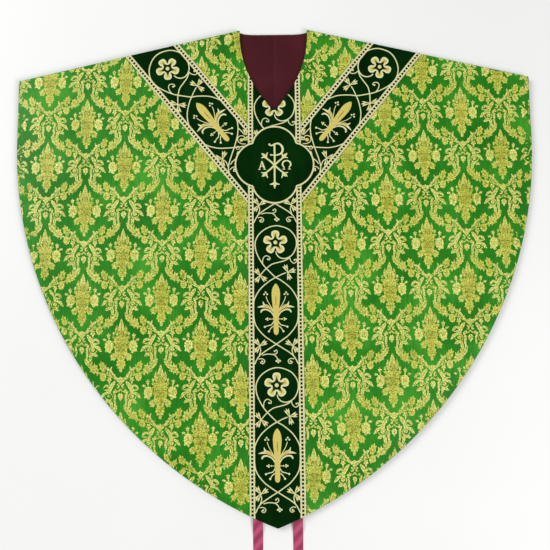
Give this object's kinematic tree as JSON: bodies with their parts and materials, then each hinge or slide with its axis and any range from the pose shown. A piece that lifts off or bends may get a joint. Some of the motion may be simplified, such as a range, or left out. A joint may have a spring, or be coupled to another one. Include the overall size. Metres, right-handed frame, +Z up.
{
  "type": "chasuble",
  "caption": "Pointed Gothic chasuble laid flat: damask front and back with Y-shaped velvet orphreys, medallion, lining and tie ribbons; the front lifts from the back.",
  "frame": {"origin": "on the table under the middle of the garment's own box, without the tie ribbons", "axes": "+X across the garment to the viewer's right, +Y from the hem point towards the neck, +Z up from the table through back, front and trims"},
  "size_m": [1.4, 1.465, 0.0154],
  "materials": {
    "brocade": "green damask brocade with gold figures",
    "lining": "burgundy satin lining",
    "canvas": "undyed cotton interlining and tape",
    "velvet": "dark green cut velvet",
    "ladder_braid": "woven cream and gold ladder braid",
    "gold_cord": "twisted gold cord",
    "gold_embroidery": "gold and cream satin stitch",
    "tie_ribbon": "magenta satin ribbon"
  },
  "bodies": {
    "back": {"back_cloth_left": "brocade", "back_cloth_right": "brocade", "back_lining_left": "lining", "back_lining_right": "lining", "back_interlining": "canvas", "back_column_velvet": "velvet", "back_stem_velvet": "velvet", "back_arm_velvet_left": "velvet", "back_arm_velvet_right": "velvet", "back_medallion_velvet": "velvet", "back_medallion_cord": "gold_cord", "back_cross": "gold_embroidery", "back_column_braid_left": "ladder_braid", "back_column_braid_right": "ladder_braid", "back_stem_braid": "ladder_braid", "back_arm_braid_left": "ladder_braid", "back_arm_braid_right": "ladder_braid", "back_roses": "gold_embroidery", "back_lilies": "gold_embroidery", "back_vines": "gold_embroidery", "tie_ribbon_left": "tie_ribbon", "tie_ribbon_right": "tie_ribbon", "ribbon_patches": "tie_ribbon", "shoulder_tape_left": "canvas", "shoulder_tape_right": "canvas", "shoulder_cloth_left": "brocade", "shoulder_cloth_right": "brocade", "shoulder_lining_left": "lining", "shoulder_lining_right": "lining", "shoulder_interlining": "canvas", "shoulder_velvet_left": "velvet", "shoulder_velvet_right": "velvet", "shoulder_braid_left": "ladder_braid", "shoulder_braid_right": "ladder_braid", "arm_roses": "gold_embroidery"},
    "front": {"front_cloth_left": "brocade", "front_cloth_right": "brocade", "front_lining_left": "lining", "front_lining_right": "lining", "front_interlining": "canvas", "front_column_velvet": "velvet", "front_stem_velvet": "velvet", "front_arm_velvet_left": "velvet", "front_arm_velvet_right": "velvet", "front_medallion_velvet": "velvet", "front_medallion_cord": "gold_cord", "christogram": "gold_embroidery", "front_column_braid_left": "ladder_braid", "front_column_braid_right": "ladder_braid", "front_stem_braid": "ladder_braid", "front_arm_braid_left": "ladder_braid", "front_arm_braid_right": "ladder_braid", "front_roses": "gold_embroidery", "front_lilies": "gold_embroidery", "front_vines": "gold_embroidery", "arm_lilies": "gold_embroidery"}
  },
  "joints": [
    {"name": "front_lift", "type": "hinge", "parent": "back", "child": "front", "pos_m": [0, 0.52, 0.0154], "axis": [-1, 0, 0], "range_deg": [0, 120]}
  ]
}
